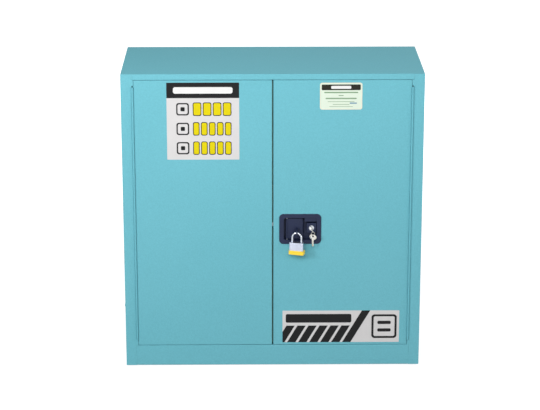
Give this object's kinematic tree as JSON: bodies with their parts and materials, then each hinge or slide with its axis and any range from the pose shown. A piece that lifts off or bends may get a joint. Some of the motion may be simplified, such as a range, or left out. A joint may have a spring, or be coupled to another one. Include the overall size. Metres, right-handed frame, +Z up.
{
  "type": "safety cabinet",
  "caption": "Double-walled steel safety cabinet with two hinged doors, recessed three-point latch, padlock, shelf and leakproof sump.",
  "frame": {"origin": "on the floor, under the middle of the carcass", "axes": "+X to the right as seen from the front, +Y to the back, +Z up"},
  "size_m": [1.1312, 0.499, 1.118],
  "materials": {
    "body_paint": "powder-coated teal, semi-gloss",
    "liner_paint": "powder-coated teal, semi-gloss",
    "zinc_steel": "zinc-plated",
    "tray_plastic": "natural polyethylene",
    "latch_black": "black powder coat",
    "lock_chrome": "polished chrome",
    "key_steel": "nickel-plated",
    "padlock_steel": "laminated steel",
    "bumper_yellow": "moulded vinyl",
    "seal_rubber": "matt",
    "vent_brass": "painted",
    "decal_film": "printed film"
  },
  "bodies": {
    "cabinet": {"side_panel_left": "body_paint", "side_panel_right": "body_paint", "top_panel": "body_paint", "back_panel": "body_paint", "front_sill": "body_paint", "base_pan": "body_paint", "liner_left": "liner_paint", "liner_right": "liner_paint", "liner_back": "liner_paint", "liner_top": "liner_paint", "sump_tray": "liner_paint", "wall_spacers": "zinc_steel", "shelf_standards": "zinc_steel", "shelf_clips": "zinc_steel", "frame_leaf_left": "body_paint", "frame_leaf_right": "body_paint", "hinge_pins": "zinc_steel", "vent_sleeve_left": "vent_brass", "vent_sleeve_right": "vent_brass", "flame_screens": "zinc_steel", "ground_stud": "zinc_steel"},
    "shelf": {"shelf": "zinc_steel", "shelf_tray": "tray_plastic"},
    "left_door": {"door_skin_left": "body_paint", "door_inner_left": "liner_paint", "door_leaf_left": "body_paint", "door_stiffener_left": "zinc_steel", "bolt_keeper": "zinc_steel", "seam_seal": "seal_rubber", "decal_panel": "decal_film"},
    "right_door": {"door_skin_right": "body_paint", "door_inner_right": "liner_paint", "door_leaf_right": "body_paint", "door_stiffener_right": "zinc_steel", "latch_pan": "latch_black", "lock_housing": "latch_black", "paddle_pin": "zinc_steel", "rotor_pivot": "zinc_steel", "latch_guides": "zinc_steel", "decal_card": "decal_film", "decal_band": "decal_film"},
    "paddle": {"paddle": "latch_black"},
    "latch_rotor": {"latch_rotor": "zinc_steel"},
    "center_bolt": {"center_bolt": "zinc_steel"},
    "top_rod": {"top_rod": "zinc_steel"},
    "bottom_rod": {"bottom_rod": "zinc_steel"},
    "lock_plug": {"lock_plug": "lock_chrome", "lock_cam": "zinc_steel", "lock_key": "key_steel"},
    "key_ring": {"key_ring": "key_steel", "spare_key": "key_steel"},
    "padlock_shackle": {"padlock_shackle": "lock_chrome"},
    "padlock_body": {"padlock_body": "padlock_steel", "padlock_bumper": "bumper_yellow"},
    "vent_cap_left": {"vent_cap_left": "vent_brass"},
    "vent_cap_right": {"vent_cap_right": "vent_brass"},
    "foot_front_left": {"foot_front_left": "zinc_steel"},
    "foot_front_right": {"foot_front_right": "zinc_steel"},
    "foot_rear_left": {"foot_rear_left": "zinc_steel"},
    "foot_rear_right": {"foot_rear_right": "zinc_steel"}
  },
  "joints": [
    {"name": "door_left_swing", "type": "hinge", "parent": "cabinet", "child": "left_door", "pos_m": [-0.5033, -0.23, 0], "axis": [0, 0, -1], "range_deg": [0, 175]},
    {"name": "door_right_swing", "type": "hinge", "parent": "cabinet", "child": "right_door", "pos_m": [0.5033, -0.23, 0], "axis": [0, 0, 1], "range_deg": [0, 175]},
    {"name": "handle_pull", "type": "hinge", "parent": "right_door", "child": "paddle", "pos_m": [0.0525, -0.2235, 0.5365], "axis": [0, 0, -1], "range_deg": [0, 30], "stiffness_Nm_per_rad": 0.6, "springref_deg": -5.73},
    {"name": "rotor_turn", "type": "hinge", "parent": "right_door", "child": "latch_rotor", "pos_m": [0.082, -0.2022, 0.53], "axis": [0, 1, 0], "range_deg": [0, 31.5]},
    {"name": "bolt_slide", "type": "slide", "parent": "right_door", "child": "center_bolt", "axis": [1, 0, 0], "range_m": [0, 0.0096]},
    {"name": "rod_top_slide", "type": "slide", "parent": "right_door", "child": "top_rod", "axis": [0, 0, -1], "range_m": [0, 0.0106]},
    {"name": "rod_bottom_slide", "type": "slide", "parent": "right_door", "child": "bottom_rod", "axis": [0, 0, 1], "range_m": [0, 0.0106]},
    {"name": "key_turn", "type": "hinge", "parent": "right_door", "child": "lock_plug", "pos_m": [0.142, -0.2285, 0.5397], "axis": [0, -1, 0], "range_deg": [0, 90]},
    {"name": "key_ring_swing", "type": "hinge", "parent": "lock_plug", "child": "key_ring", "pos_m": [0.14735, -0.244, 0.52963], "axis": [-0.866, -0.5, 0], "range_deg": [-6, 60]},
    {"name": "padlock_swing", "type": "hinge", "parent": "paddle", "child": "padlock_shackle", "pos_m": [0.08785, -0.2507, 0.5273], "axis": [-1, 0, 0], "range_deg": [0, 80]},
    {"name": "padlock_release", "type": "slide", "parent": "padlock_shackle", "child": "padlock_body", "axis": [0, 0, -1], "range_m": [0, 0.014]},
    {"name": "shelf_lift", "type": "slide", "parent": "cabinet", "child": "shelf", "axis": [0, 0, 1], "range_m": [0, 0.03]},
    {"name": "vent_cap_left_unscrew", "type": "slide", "parent": "cabinet", "child": "vent_cap_left", "axis": [-1, 0, 0], "range_m": [0, 0.02]},
    {"name": "vent_cap_right_unscrew", "type": "slide", "parent": "cabinet", "child": "vent_cap_right", "axis": [1, 0, 0], "range_m": [0, 0.02]},
    {"name": "screw_foot_front_left", "type": "slide", "parent": "cabinet", "child": "foot_front_left", "axis": [0, 0, -1], "range_m": [0, 0.008]},
    {"name": "screw_foot_front_right", "type": "slide", "parent": "cabinet", "child": "foot_front_right", "axis": [0, 0, -1], "range_m": [0, 0.008]},
    {"name": "screw_foot_rear_left", "type": "slide", "parent": "cabinet", "child": "foot_rear_left", "axis": [0, 0, -1], "range_m": [0, 0.008]},
    {"name": "screw_foot_rear_right", "type": "slide", "parent": "cabinet", "child": "foot_rear_right", "axis": [0, 0, -1], "range_m": [0, 0.008]}
  ],
  "couplings": [
    {"joint": "rotor_turn", "follows": "handle_pull", "ratio": 1.031},
    {"joint": "bolt_slide", "follows": "handle_pull", "m_per_rad": 0.017666},
    {"joint": "rod_top_slide", "follows": "handle_pull", "m_per_rad": 0.019633},
    {"joint": "rod_bottom_slide", "follows": "handle_pull", "m_per_rad": 0.019633}
  ]
}
